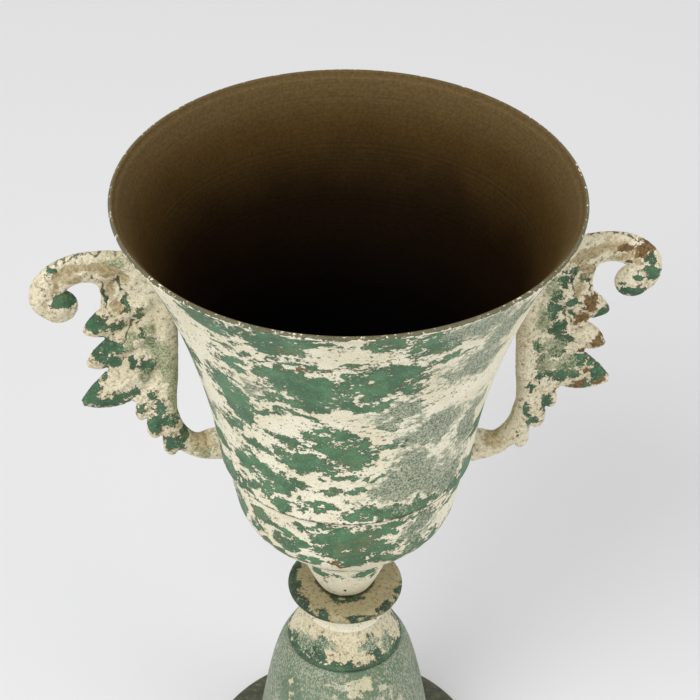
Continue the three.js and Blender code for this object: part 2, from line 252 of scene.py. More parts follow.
# %% Meshes
def meshed(name, places, faces):
    """An object in the scene from points in millimetres and faces."""
    mesh = bpy.data.meshes.new(name)
    mesh.from_pydata((np.asarray(places) * MM).tolist(), [], faces)
    return linked(name, mesh)


def worked_out(made):
    """A new mesh of an object as its modifiers leave it."""
    depsgraph = bpy.context.evaluated_depsgraph_get()
    return bpy.data.meshes.new_from_object(made.evaluated_get(depsgraph))


def smoothed(mesh, sharp=50):
    """Shades a mesh smooth, except over edges sharper than an angle in degrees."""
    mesh.shade_smooth()
    mesh.set_sharp_from_angle(angle=radians(sharp))


def piece(name, places, faces, node, sharp=50):
    """A smooth-shaded mesh that stands for a node, rides on the root and hides the node's part."""
    made = meshed(name, places, faces)
    smoothed(made.data, sharp)
    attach(made, "root")
    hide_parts(node)
    print(f"{name}: {len(made.data.vertices)} points, {len(made.data.polygons)} faces")
    return made


def shell(name, outline, facets, node):
    """A piece turned from a closed outline, with the waves of the whole stack."""
    places, faces = turned(outline, facets)
    return piece(name, sway(places), faces, node)


def numbers(items, name, kind=np.float32, width=3):
    """One property of all points, corners or faces of a mesh, a row for each."""
    flat = np.empty(len(items) * width, kind)
    items.foreach_get(name, flat)
    return flat.reshape(-1, width)


def points_of(mesh):
    """The points of a mesh in millimetres."""
    return numbers(mesh.vertices, "co").astype(float) / MM


def field(made, name, values):
    """Stores one number for each point of a piece, for its material to read."""
    layer = made.data.attributes.new(name, "FLOAT", "POINT")
    layer.data.foreach_set("value", np.asarray(values, np.float32))

# %% [markdown]
# ## The bell
# The upper shell flares from the waist to a rolled rim. Its lower edge turns in and goes down
# inside the bowl as a short spigot. The waist and the bowl's lip are both rounded, which leaves
# the dark crease that runs round the urn.

# %% Upper bell
FIT, SPIGOT, WAIST_ROUND, FINE = 0.3, 8.0, 1.7, 256


def bowl_inside(height):
    """Inner radius of the bowl's wall."""
    return bowl_wall(height) - SHEET * np.hypot(1, BOWL_RUN)


flare_heights = np.linspace(WAIST + 2.0, RIM_TOP - 2 * RIM_ROLL, 120)
flare = np.column_stack([bell_radius(flare_heights), flare_heights])
spigot_top, spigot_foot = bowl_inside(WAIST) - FIT, bowl_inside(WAIST - SPIGOT) - FIT
bell_outline = line(
    [spigot_top, WAIST],
    corner([spigot_top, WAIST], [WAIST_RADIUS, WAIST], flare[0], WAIST_ROUND),
    flare,
    arc(RIM_RADIUS - RIM_ROLL, RIM_TOP - RIM_ROLL, RIM_ROLL, -45, 180, 16),
    inner(flare)[::-1][1:-1],
    [spigot_top - SHEET, WAIST + SHEET],
    [spigot_foot - SHEET, WAIST - SPIGOT],
    [spigot_foot, WAIST - SPIGOT],
)
bell = shell("upper_bell_shell", closed(bell_outline, 1.9), FINE, "upper_bell")

# %% [markdown]
# ## The lower bowl
# A flat floor, a cone, a wide shoulder and a nearly upright wall with a proud rolled lip.

# %% Lower bowl
FLOOR_RADIUS, CONE_RUN, SHOULDER = 36.0, 0.949, 40.0
meet = NECK_TOP + (bowl_wall(NECK_TOP) - FLOOR_RADIUS) / (CONE_RUN - BOWL_RUN)
LIP_PROUD, LIP_HEIGHT, LIP_ROUND = 1.1, 3.6, 1.7
lip_radius = bowl_wall(WAIST) + LIP_PROUD
bowl_shell = line(
    [BORE, NECK_TOP],
    corner([BORE, NECK_TOP], [FLOOR_RADIUS, NECK_TOP], [bowl_wall(meet), meet], 1.2, 5),
    corner([FLOOR_RADIUS, NECK_TOP], [bowl_wall(meet), meet], [bowl_wall(WAIST), WAIST],
           SHOULDER, 24),
    [bowl_wall(WAIST - LIP_HEIGHT - 0.4), WAIST - LIP_HEIGHT - 0.4],
)
up = np.linspace(0, 1, 9)
lip_height = WAIST - LIP_HEIGHT + up * (LIP_HEIGHT - LIP_ROUND)
proud = LIP_PROUD * np.sin(up * np.pi / 2) ** 1.5
lip_curve = np.column_stack([bowl_wall(lip_height) + proud, lip_height])
lip_top = arc(lip_radius - LIP_ROUND, WAIST - LIP_ROUND, LIP_ROUND, 12, 90, 9)
bowl_back = line([bowl_inside(WAIST), WAIST], inner(refine(bowl_shell, 1.4))[::-1])
bowl_outline = line(bowl_shell, lip_curve, lip_top, bowl_back)
bowl = shell("lower_bowl_shell", closed(bowl_outline, 1.6), FINE, "lower_bowl")

# %% [markdown]
# ## The stem: neck cone, knop disc, stem ring and collar
# Four small turned pieces between the bowl and the pedestal. The neck has a vent hole in front,
# which spinners drill so that a washed shell can drain. It is cut from the turned shell with a
# Boolean modifier.

# %% Neck cone
NECK_FOOT, NECK_HEAD, NECK_POWER, FLANGE, SMALL = 18.8, 34.8, 0.86, 8.0, 160
rise = np.linspace(0, 1, 40)[1:-1]
neck_curve = np.column_stack([
    NECK_FOOT + (NECK_HEAD - NECK_FOOT) * rise ** NECK_POWER,
    KNOP_TOP + (NECK_TOP - KNOP_TOP) * rise,
])
neck_outside = line(
    [NECK_FOOT - FLANGE, KNOP_TOP],
    corner([NECK_FOOT - FLANGE, KNOP_TOP], [NECK_FOOT, KNOP_TOP], neck_curve[0], 0.5, 4),
    neck_curve,
    corner(neck_curve[-1], [NECK_HEAD, NECK_TOP], [NECK_HEAD - FLANGE, NECK_TOP], 0.4, 4),
    [NECK_HEAD - FLANGE, NECK_TOP],
)
neck = shell("neck_cone_shell", spun(neck_outside, 1.3), SMALL, "neck_cone")


def drilled(made, bit_places, bit_faces):
    """Cuts a closed bit out of a piece with an exact Boolean and keeps the result as its mesh."""
    bit = meshed("bit", bit_places, bit_faces)
    cut = made.modifiers.new("cut", "BOOLEAN")
    cut.operation, cut.solver, cut.object = "DIFFERENCE", "EXACT", bit
    result = worked_out(made)
    made.modifiers.remove(cut)
    made.data = result
    bpy.data.objects.remove(bit)
    smoothed(result)
    print(f"{made.name} after the cut: {len(result.polygons)} faces")


VENT_RADIUS, VENT_HEIGHT, BIT_FAR, BIT_NEAR = 1.3, 10.6, -40, -12
bit_outline = line([0, BIT_FAR], [VENT_RADIUS, BIT_FAR], [VENT_RADIUS, BIT_NEAR], [0, BIT_NEAR])
bit_places, bit_faces = turned(bit_outline, 24)
bit_places = bit_places[:, [0, 2, 1]] + [0, 0, KNOP_TOP + VENT_HEIGHT]
drilled(neck, bit_places, [face[::-1] for face in bit_faces])

# %% Knop disc
KNOP_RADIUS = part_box("knop_disc")[1].x / MM
half = (KNOP_TOP - STEM_TOP) / 2
knop_outline = line(
    [BORE, STEM_TOP],
    arc(KNOP_RADIUS - half, STEM_TOP + half, half, -90, 90, 24),
    [BORE, KNOP_TOP],
)
knop = shell("knop_disc_turning", closed(knop_outline, 1.2), SMALL, "knop_disc")

# %% Stem ring
STEM_FOOT, STEM_HEAD, COVE, STEM_BORE = 28.0, 24.0, 1.6, 19.0
rise = np.linspace(0, 1, 24)
cove = np.column_stack([
    STEM_FOOT + (STEM_HEAD - STEM_FOOT) * rise - COVE * np.sin(np.pi * rise),
    COLLAR_TOP + (STEM_TOP - COLLAR_TOP) * rise,
])
ring_outline = line([STEM_BORE, COLLAR_TOP], cove, [STEM_BORE, STEM_TOP])
stem_ring = shell("stem_ring_turning", closed(ring_outline, 1.2), SMALL, "stem_ring")

# %% Collar cap
LIP_RADIUS, LIP_ROLL = 41.0, 2.2
lip = np.array([LIP_RADIUS - LIP_ROLL, PEDESTAL_TOP + LIP_ROLL])
collar_outline = line(
    arc(lip[0], lip[1], LIP_ROLL, -90, 62, 16),
    corner(lip + [1.2, 1.9], [STEM_FOOT, COLLAR_TOP], [STEM_BORE, COLLAR_TOP], 0.8, 5),
    [STEM_BORE, COLLAR_TOP],
    [STEM_BORE, COLLAR_TOP - SHEET],
    [STEM_FOOT - SHEET, COLLAR_TOP - SHEET],
    lip + [-LIP_ROLL, LIP_ROLL * 0.6],
    lip + [-LIP_ROLL * 0.8, -LIP_ROLL * 0.6],
)
collar = shell("collar_cap_shell", closed(collar_outline, 1.2), SMALL, "collar_cap")

# %% [markdown]
# ## Pedestal and base plate
# The pedestal is a bell whose radius grows with the depth to the power 0.55, fast at the
# shoulder and then slower. It stands on a turned-out flange. The base plate is a pressed disc
# with a rolled edge, a flat hem on the ground and a raised middle for the nut.

# %% Pedestal
SHOULDER_RADIUS, FOOT_RADIUS, POWER, WIDE = 40.6, 67.8, 0.55, 220
SEAT = low("pedestal_bell")


def pedestal_radius(height):
    """Outer radius: the shoulder's plus the spread times the share of the depth ** 0.55."""
    depth = (PEDESTAL_TOP - np.asarray(height)) / (PEDESTAL_TOP - SEAT)
    return SHOULDER_RADIUS + (FOOT_RADIUS - SHOULDER_RADIUS) * np.clip(depth, 0, 1) ** POWER


COVE_TOP = SEAT + 6.0
heights = COVE_TOP + (PEDESTAL_TOP - COVE_TOP) * (1 - (1 - np.linspace(0, 1, 90)) ** 2.4)
side_curve = np.column_stack([pedestal_radius(heights), heights])
foot_at = pedestal_radius(COVE_TOP)
quarter = np.radians(np.linspace(0, 90, 12))
flange = np.column_stack([
    foot_at + 4.6 * (1 - np.sin(quarter)),
    SEAT + SHEET + 4.4 * (1 - np.cos(quarter)),
])
pedestal_outside = line(
    [foot_at + 4.9, SEAT + SHEET], flange, side_curve[:-1],
    [SHOULDER_RADIUS - 0.5, PEDESTAL_TOP], [STEM_BORE, PEDESTAL_TOP],
)
pedestal = shell("pedestal_shell", spun(pedestal_outside, 1.4), WIDE, "pedestal_bell")

# %% Base plate
BASE_RADIUS, EDGE, HEM, BOSS_HEIGHT = 103.5, 4.0, 11.0, 15.0
SEAT_OUTER, SEAT_INNER, BOSS = 80.0, 61.0, 56.0
base_outside = line(
    [BASE_RADIUS - EDGE - HEM, 0],
    arc(BASE_RADIUS - EDGE, EDGE, EDGE, -90, 78, 20),
    corner([BASE_RADIUS - EDGE, 2 * EDGE], [SEAT_OUTER, SEAT], [SEAT_INNER, SEAT], 3, 5),
    corner([SEAT_OUTER, SEAT], [SEAT_INNER, SEAT], [BOSS, BOSS_HEIGHT], 3, 5),
    corner([SEAT_INNER, SEAT], [BOSS, BOSS_HEIGHT], [BORE, BOSS_HEIGHT], 3, 5),
    [BORE, BOSS_HEIGHT],
)
base = shell("base_plate_pressing", spun(base_outside, 1.8), WIDE, "base_plate")

# %% [markdown]
# ## Tie rod, washers and nuts
# One M8 rod clamps the whole stack. Its thread shows at both ends, so the rod's radius follows a
# helix there. A nut is a hexagon whose corners are turned off by a cone at both faces.

# %% Rod
ROD_LOW, ROD_HIGH, ROD_RADIUS, POINT = low("tie_rod"), high("tie_rod"), 4.0, 0.8
PITCH, THREAD, THREADED, STEP = 1.25, 0.55, 26, 0.16
rod_heights = np.unique(np.concatenate([
    np.arange(ROD_LOW + POINT, ROD_LOW + THREADED, STEP),
    np.linspace(ROD_LOW + THREADED, ROD_HIGH - THREADED, 40),
    np.arange(ROD_HIGH - THREADED, ROD_HIGH - POINT, STEP),
]))
rod_outline = line(
    [0, ROD_LOW], [ROD_RADIUS - POINT, ROD_LOW],
    np.column_stack([np.full(len(rod_heights), ROD_RADIUS), rod_heights]),
    [ROD_RADIUS - POINT, ROD_HIGH], [0, ROD_HIGH],
)
places, faces = turned(rod_outline, 48)
angle = np.arctan2(places[:, 1], places[:, 0])
groove = np.abs(((places[:, 2] / PITCH - angle / (2 * np.pi)) % 1) - 0.5) * 2
from_end = np.minimum(places[:, 2] - ROD_LOW, ROD_HIGH - places[:, 2])
on_thread = (from_end > POINT - 0.1) & (from_end < THREADED - 1)
places[:, :2] *= 1 - (THREAD * groove * on_thread / ROD_RADIUS)[:, None]
rod = piece("tie_rod_threaded", places, faces, "tie_rod", 30)

# %% Washers and nuts
def washer(name, node):
    """A flat ring as high as its node, with edges rounded by a quarter of its thickness."""
    foot, top = low(node), high(node)
    outer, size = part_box(node)[1].x / MM, (top - foot) / 4
    outside = line(
        [BORE, foot], corner([BORE, foot], [outer, foot], [outer, top], size, 4),
        corner([outer, foot], [outer, top], [BORE, top], size, 4), [BORE, top],
    )
    places, faces = turned(outside, 64)
    return piece(name, places, faces, node)


def nut(name, node):
    """A hexagonal nut. At angle a the side lies at flat / cos(a folded into 30 degrees), and a
    30 degree cone trims it."""
    foot, top, flat = low(node), high(node), 6.5
    peak = flat / cos(radians(30))
    levels = np.concatenate([foot + np.linspace(0, 0.7, 6), top - np.linspace(0.7, 0, 6)])
    outline = line([BORE, foot], np.column_stack([np.full(12, peak), levels]), [BORE, top])
    places, faces = turned(outline, 96)
    angle = np.arctan2(places[:, 1], places[:, 0])
    folded = np.abs((angle + np.pi / 6) % (np.pi / 3) - np.pi / 6)
    side = flat / np.cos(folded)
    edge = np.minimum(places[:, 2] - foot, top - places[:, 2])
    cone = flat * 0.98 + edge / np.tan(radians(30))
    radius = np.hypot(places[:, 0], places[:, 1])
    wanted = np.where(radius > BORE + 0.1, np.minimum(side, cone), radius)
    places[:, :2] *= (wanted / radius)[:, None]
    return piece(name, places, faces, node, 20)


fasteners = [
    rod,
    washer("top_washer_ring", "top_washer"), nut("top_nut_hex", "top_nut"),
    washer("bottom_washer_ring", "bottom_washer"), nut("bottom_nut_hex", "bottom_nut"),
]

# %% [markdown]
# ## The handles
# Both handles are castings from one pattern: a bar on the inside, a scroll on top that curls
# round an eye, and leaf lobes on the outside. Each limb is an oval section carried along a
# smooth line in the handle's plane. A voxel remesh fuses the limbs into one skin, as the pattern
# maker's filler does, and the valleys between the leaves are then carved with numpy. Sculpting
# by hand would look as good, but it couldn't be repeated.

# %% Handle limbs
def smooth_line(stations, count):
    """A centripetal Catmull-Rom curve through the stations: each span is a cubic whose end slopes
    come from its neighbours, weighted by the square root of their distances."""
    stations = np.asarray(stations, float)
    ends = 2 * stations[0] - stations[1], 2 * stations[-1] - stations[-2]
    padded = np.vstack([ends[0], stations, ends[1]])
    gap = np.maximum(np.linalg.norm(np.diff(padded[:, :2], axis=0), axis=1) ** 0.5, 1e-3)
    at = np.linspace(0, len(stations) - 1, count)
    span = np.minimum(at.astype(int), len(stations) - 2)
    t = (at - span)[:, None]
    p0, p1, p2, p3 = (padded[span + k] for k in range(4))
    d0, d1, d2 = (gap[span + k][:, None] for k in range(3))
    out = ((p1 - p0) / d0 - (p2 - p0) / (d0 + d1) + (p2 - p1) / d1) * d1
    into = ((p2 - p1) / d1 - (p3 - p1) / (d1 + d2) + (p3 - p2) / d2) * d1
    bend, twist = 3 * (p2 - p1) - 2 * out - into, 2 * (p1 - p2) + out + into
    return p1 + out * t + bend * t ** 2 + twist * t ** 3


def limb(stations, count=60, sides=28):
    """A closed tube. A station is (x, z, half width, half depth), and the section at angle a is
    half width times cos a across the line and half depth times sin a to the side."""
    run = smooth_line(stations, count)
    centre, girth = run[:, :2], np.maximum(run[:, 2:], 0.6)
    along = np.gradient(centre, axis=0)
    along /= np.linalg.norm(along, axis=1)[:, None]
    spoke = np.arange(sides)
    angle = spoke * 2 * np.pi / sides
    across = girth[:, :1] * np.cos(angle)
    places = np.stack([
        centre[:, :1] - along[:, 1:] * across,
        girth[:, 1:] * np.sin(angle),
        centre[:, 1:] + along[:, :1] * across,
    ], -1).reshape(-1, 3)
    row, beside = np.arange(count - 1)[:, None] * sides, (spoke + 1) % sides
    quads = np.stack([row + spoke, row + sides + spoke, row + sides + beside, row + beside], -1)
    caps = [list(range(sides)), list(range(count * sides - 1, (count - 1) * sides - 1, -1))]
    return places, quads.reshape(-1, 4).tolist() + caps


STEM = [
    (28, 136, 10, 6), (33.5, 112, 8, 6), (34, 85, 7, 6.5), (35, 62, 7, 6.5), (36.5, 44, 7, 6.5),
    (35.5, 27, 7.3, 6.5), (28.5, 10.5, 8, 7), (19, 2.2, 8.2, 7.8), (12, 0.5, 10.2, 8.6),
    (5, 0.8, 11.8, 9.4), (-8, 0.8, 12.4, 10),
]
SCROLL = [
    (28, 136, 20, 5.5), (47, 147, 17, 5.5), (63, 154, 13.5, 5.5), (76, 157, 12, 5.5),
    (89, 157.2, 11, 5.5), (100, 153, 10.8, 5.5), (108, 144.5, 11, 5.6), (109.4, 135, 10.8, 6),
    (105, 129.5, 10, 6), (101, 129.5, 8, 5),
]
LOBES = [
    [(44, 128, 9, 5), (60, 121, 10.5, 5), (73, 112.3, 11, 4.6), (82.5, 108.2, 6.8, 3.6),
     (87.6, 106, 2, 1.4)],
    [(42, 104, 9, 5), (58, 96.5, 10.5, 5), (71, 88.2, 10.3, 4.6), (81.5, 81.6, 6.8, 3.4),
     (87, 79.4, 2, 1.4)],
    [(40, 82, 9, 5), (54, 70.5, 13, 5), (68, 58.8, 15.2, 4.6), (82.8, 51.6, 9.6, 3.4),
     (92.2, 48.4, 2.6, 1.4)],
    [(37, 64, 7, 5), (44, 52, 8, 4.8), (49.5, 41, 7.2, 4.2), (53, 33, 5, 3), (54.2, 29, 2, 1.4)],
    [(35, 48, 6.5, 5), (40, 36, 7.4, 4.8), (43.6, 24, 7, 4.2), (44.8, 15.6, 5.2, 3),
     (45.2, 12, 2, 1.4)],
    [(33.6, 28, 5, 5), (33.4, 18, 6.4, 4.8), (34, 7, 6.4, 4.2), (34.6, -1, 4.8, 3),
     (34.6, -4.6, 2, 1.4)],
]
WEB = [
    (24, 120), (44, 150), (66, 153), (82, 149), (76, 143), (74.6, 134), (76, 118), (74, 98),
    (73, 74), (60, 48), (49, 40), (40, 18), (31, 4), (22, 4), (31, 40), (31, 90),
]
EYE = (102, 129.6, 12.4, 7)


def slab(corners, half):
    """A flat plate: the corners in the handle's plane, once in front and once behind."""
    corners = np.asarray(corners, float)
    count = len(corners)
    loop = np.arange(count)
    after = (loop + 1) % count
    rim = np.column_stack([loop, after, count + after, count + loop])
    places = [np.insert(corners, 1, depth, axis=1) for depth in (-half, half)]
    return np.vstack(places), [loop.tolist(), (count + loop[::-1]).tolist()] + rim.tolist()


def button(x, z, size, half, rows=24, facets=40):
    """A flattened ball: at latitude b its ring has radius size cos b, and it lies half sin b off
    the plane."""
    latitude = np.linspace(-np.pi / 2, np.pi / 2, rows)
    radius = size * np.cos(latitude) * (np.abs(latitude) < 1.57)
    places, faces = turned(np.column_stack([radius, half * np.sin(latitude)]), facets)
    return np.column_stack([x + places[:, 0], -places[:, 2], z + places[:, 1]]), faces

# %% [markdown]
# The limbs overlap, so they are one mesh with crossing skins until the remesh. Its voxels are
# 0.75 mm, fine enough for a valley 2 mm wide. What it leaves is evaluated and read back as plain
# arrays, with every point known in the handle's own plane.

# %% Fused casting
VOXEL = 0.75


def join(parts):
    """Several (points, faces) pairs as one."""
    faces, start = [], 0
    for part_places, part_faces in parts:
        faces += [[i + start for i in face] for face in part_faces]
        start += len(part_places)
    return np.vstack([part_places for part_places, _ in parts]), faces


def fused(places, faces):
    """The outer skin of crossing meshes, found by Blender's voxel remesh, as points and faces."""
    made = meshed("limbs", places, faces)
    remesh = made.modifiers.new("skin", "REMESH")
    remesh.mode, remesh.voxel_size, remesh.adaptivity = "VOXEL", VOXEL * MM, 0.0
    skin = worked_out(made)
    corners = numbers(skin.loops, "vertex_index", np.int32, 1)[:, 0]
    ends = np.cumsum(numbers(skin.polygons, "loop_total", np.int32, 1))
    bpy.data.objects.remove(made)
    return points_of(skin), [run.tolist() for run in np.split(corners, ends[:-1])]


def relaxed(places, faces, rounds=3, share=0.5):
    """Each point moved a share of the way to the mean of its neighbours, some rounds over."""
    edges = np.concatenate([
        np.column_stack([np.asarray(face), np.roll(face, -1)]) for face in faces
    ])
    count = np.bincount(edges[:, 0], minlength=len(places))[:, None]
    for _ in range(rounds):
        mean = np.column_stack([
            np.bincount(edges[:, 0], places[edges[:, 1], axis], minlength=len(places))
            for axis in range(3)
        ]) / count
        places = places + share * (mean - places)
    return places


HOLLOWS = [
    ([(60, 150), (72, 158), (84, 161), (95, 160), (102, 154), (104, 146)], 3.6, 1.6),
    ([(46, 142), (58, 149), (66, 152)], 3.2, 0.7),
    ([(74, 101), (62, 107), (50, 114), (43, 122)], 2.6, 1.1),
    ([(74, 80), (62, 85), (50, 92), (42, 101)], 2.6, 1.1),
    ([(58, 50), (50, 58), (44, 68), (40, 80)], 2.0, 0.9),
    ([(52, 34), (46, 42), (41, 52), (38, 62)], 1.9, 0.9),
    ([(42, 14), (38, 24), (36, 36)], 1.9, 0.9),
    ([(93, 133), (96, 124), (104, 122), (110, 128), (109, 137), (102, 140)], 2.0, 0.9),
]
VEINS = [
    ([(66, 150), (62, 142), (60, 134), (62, 128), (64, 121)], 0.9, 0.8),
    ([(57, 116), (57, 110), (60, 104), (62, 99)], 0.9, 0.8),
    ([(79, 154), (74, 146), (73, 138), (72, 132), (73, 126)], 0.9, 0.7),
]
TOP_EDGE = [([(34, 160), (48, 165), (62, 168), (76, 169.5), (90, 168.5), (103, 163.5)], 1.3, 0)]
RIDGES = [
    ([(46, 127), (60, 119), (73, 112), (83, 108)], 2.2, 0.8),
    ([(44, 103), (58, 95), (71, 88), (81, 83)], 2.2, 0.8),
    ([(42, 80), (56, 69), (70, 60), (85, 53)], 2.6, 0.9),
]


def from_line(flat, corners):
    """Distance of points in the plane from a line of straight runs."""
    corners = np.asarray(corners, float)
    best = np.full(len(flat), np.inf)
    for a, b in zip(corners[:-1], corners[1:]):
        share = np.clip(((flat - a) @ (b - a)) / ((b - a) @ (b - a)), 0, 1)
        best = np.minimum(best, np.linalg.norm(flat - a - share[:, None] * (b - a), axis=1))
    return best


def held_by(flat, lines):
    """How near points of the plane are to any of the lines, from 0 to 1."""
    level = np.zeros(len(flat))
    for corners, width, _ in lines:
        level = np.maximum(level, np.exp(-(from_line(flat, corners) / width) ** 2))
    return level


DEEPEST, BULK = 2.4, np.array([40.0, 6.0, 40.0])


def carved(places):
    """Hollows and ridges on both faces: a bell curve of the distance from each line pushes the
    faces in or out, and a sand-cast unevenness of a few tenths of a millimetre is laid over all."""
    flat, out = places[:, [0, 2]], places.copy()
    facing = np.clip(places[:, 1] / 3.0, -1, 1)
    push = np.zeros(len(places))
    for lines, sign in ((HOLLOWS, -1), (VEINS, -1), (RIDGES, 1)):
        for corners, width, depth in lines:
            push += sign * depth * np.exp(-(from_line(flat, corners) / width) ** 2)
    out[:, 1] += facing * np.maximum(push, -DEEPEST)
    radial = out / BULK
    out += 0.22 * waves(places, 9, 21)[:, None] * facing[:, None] * [0, 1, 0]
    grain = 0.13 * waves(places, 4.2, 22, 40) + 0.10 * waves(places, 2.4, 23, 40)
    return out + grain[:, None] * radial / np.linalg.norm(radial, axis=1)[:, None]


limbs = [limb(STEM, 90), limb(SCROLL, 110)] + [limb(lobe, 44, 24) for lobe in LOBES]
cast_places, cast_faces = fused(*join(limbs + [button(*EYE), slab(WEB, 3.2)]))
cast_places = carved(relaxed(cast_places, cast_faces))
print("casting:", len(cast_places), "points,", len(cast_faces), "faces")

# %% [markdown]
# ## How wear is written down
# Paint goes where it was knocked and rubbed. Each such place is a mark, a soft oval of wear.
# Painting it by hand would look alike, but couldn't be read or repeated, so the marks are
# numbers, and slow waves bend their edges.

# %% Wear on points
TURN, STEEP, SPAN, FAR = 360, 0.8, 1.17, 0.12


def stirred(places, seed, *sizes):
    """Two small offsets for each point, each the sum of waves given as (wavelength, reach)."""
    return [
        sum(reach * waves(places, length, first + k) for k, (length, reach) in enumerate(sizes))
        for first in (seed, seed + 100)
    ]


def marks_at(across, up, marks, wrap=None):
    """How worn each point is: the highest of the bell curves of the marks, each
    (middle across, middle up, half width, half height). It runs from -0.12 to 1.05."""
    level = np.zeros(len(across))
    for middle, height, width, tall in marks:
        gap = across - middle
        if wrap:
            gap = (gap + wrap / 2) % wrap - wrap / 2
        distance = (gap / width) ** 2 + ((up - height) / tall) ** 2
        level = np.maximum(level, np.exp(-distance * STEEP))
    return SPAN * level - FAR

# %% [markdown]
# ## Placing the handles
# The real handles were held against the bell and welded on by hand, the right one higher and
# the left one turned further. So one casting is used twice, and its foot is moved out to the
# bell's skin. Two separate models would only repeat the work.

# %% Place the handles
DATUM_RADIUS, DATUM_HEIGHT = WAIST_RADIUS - 1.4, WAIST - 3.7
PIVOT, SUNK = DATUM_RADIUS + 6, 0.5


def body_radius(height):
    """Outer radius of bowl and bell at a height."""
    return np.where(height > WAIST + 0.8, bell_radius(height), bowl_wall(height) + 0.8)


def placed(places, turn, lift, about):
    """The casting moved out from its datum at the waist, turned about an upright line at its foot,
    and lifted. Points that would reach into the bell are moved out to just under its skin."""
    spot = places + [DATUM_RADIUS, 0, DATUM_HEIGHT + lift]
    c, s = cos(radians(turn)), sin(radians(turn))
    x, y = spot[:, 0] - PIVOT, spot[:, 1]
    spot = np.column_stack([PIVOT + x * c - y * s, x * s + y * c, spot[:, 2]])
    radius = np.hypot(spot[:, 0], spot[:, 1])
    least = body_radius(spot[:, 2]) - SUNK
    spot[:, :2] *= np.maximum(least / radius, 1)[:, None]
    return spot * [about, about, 1]


LEFT_WORN = [
    (98, 136, 9, 6), (104, 158, 3, 5), (67, 145, 2.5, 5), (73, 137, 1.5, 5), (60, 128, 2.5, 4),
    (80, 115, 10, 5), (70, 112, 8, 5), (52, 117, 2.5, 6), (70, 95, 11, 6), (80, 89, 7, 5),
    (71, 84, 5, 5), (48, 77, 4.5, 7), (58, 80, 3, 5), (44, 96, 3, 5), (50, 104, 3, 4),
    (76, 73, 3, 6), (86, 62, 6, 7), (74, 49, 14, 4.5), (66, 53, 8, 5), (57, 55, 4, 5),
    (88, 54, 6, 5), (46, 50, 4, 4), (52, 41, 4.5, 4), (42, 42, 5, 9), (38, 30, 9, 5.5),
    (46, 25, 5, 6), (34, 8, 7, 8), (27, 16, 4, 6),
]
LEFT_RUBBED = [
    (46, 95, 5, 7), (45, 105, 6, 5), (32, 56, 5, 24), (36, 78, 5, 14), (40, 88, 8, 10),
    (50, 68, 5, 8), (14, 4, 8, 8), (58, 98, 4, 8), (66, 160, 7, 6),
]
LEFT_RUST = [(56, 114, 1.5, 3), (62, 126, 1, 3)]
SANDY = [(70, 143, 5, 8), (66, 128, 4, 8), (92, 152, 8, 4), (14, 8, 8, 7)]
RIGHT_WORN = [
    (112, 150, 4, 8), (112, 138, 6, 8), (101, 124, 9, 6), (104, 136, 3, 4), (63, 143, 6, 3.5),
    (55, 135, 6, 6), (51, 124, 4.5, 8), (51, 111, 5, 9), (53, 97, 6, 9), (58, 87, 7, 6),
    (41, 84, 3.5, 6), (43, 72, 4.5, 8), (45, 60, 4.5, 6), (54, 78, 9, 3.5), (70, 71, 7, 5),
    (57, 58, 8, 6), (84, 57, 7, 7), (73, 48, 9, 4), (66, 60, 4, 4), (50, 36, 4.5, 7),
    (38, 51, 2, 5), (36, 33, 1.8, 7), (40.6, 21, 4, 3.5), (31, 11, 2, 2), (84, 106, 6, 4.5),
    (63, 108, 2.5, 2.5), (60, 119, 5, 3), (69, 136, 3.5, 4), (58, 66, 4, 3), (78, 66, 4, 3),
]
RIGHT_RUBBED = [(43, 104, 5, 13), (50, 82, 10, 6), (46, 70, 6, 9), (60, 68, 10, 6), (48, 132, 5, 8)]
RIGHT_RUST = [
    (74, 116, 7, 8), (69, 103, 7, 5), (81, 83, 8, 7), (94, 159, 5, 4), (108, 157, 9, 8),
    (74, 60, 4, 4), (70, 49, 6, 4), (98, 146, 4, 3), (71, 78, 3, 3), (56, 45, 3.5, 2.5),
    (85, 50, 5, 3),
]
handles = []
for side_name, turn, lift, about, worn, rubbed, rust in (
    ("left", 11, 0.0, -1, LEFT_WORN, LEFT_RUBBED, LEFT_RUST),
    ("right", 8, 1.8, 1, RIGHT_WORN, RIGHT_RUBBED, RIGHT_RUST),
):
    made = piece(f"handle_{side_name}_casting", placed(cast_places, turn, lift, about), cast_faces,
                 f"handle_{side_name}", 70)
    stir = stirred(cast_places, 51 + turn, (11, 1.3), (5, 0.6))
    flat = cast_places[:, [0, 2]] + np.column_stack(stir)
    for label, marks in (("worn", worn), ("rubbed", rubbed), ("rust", rust)):
        field(made, label, marks_at(*flat.T, marks))
    # A dark level along the veins and the top edge of the scroll.
    in_veins = np.maximum(held_by(flat, VEINS), 0.8 * held_by(flat, TOP_EDGE))
    field(made, "grime_and_shade", in_veins * 1.15 - 0.25)
    # Tan along the hollow of the scroll and at the listed marks.
    in_scroll = held_by(flat, HOLLOWS[:1]) * 1.2
    field(made, "sandy", np.maximum(in_scroll, marks_at(*flat.T, SANDY)))
    handles.append(made)
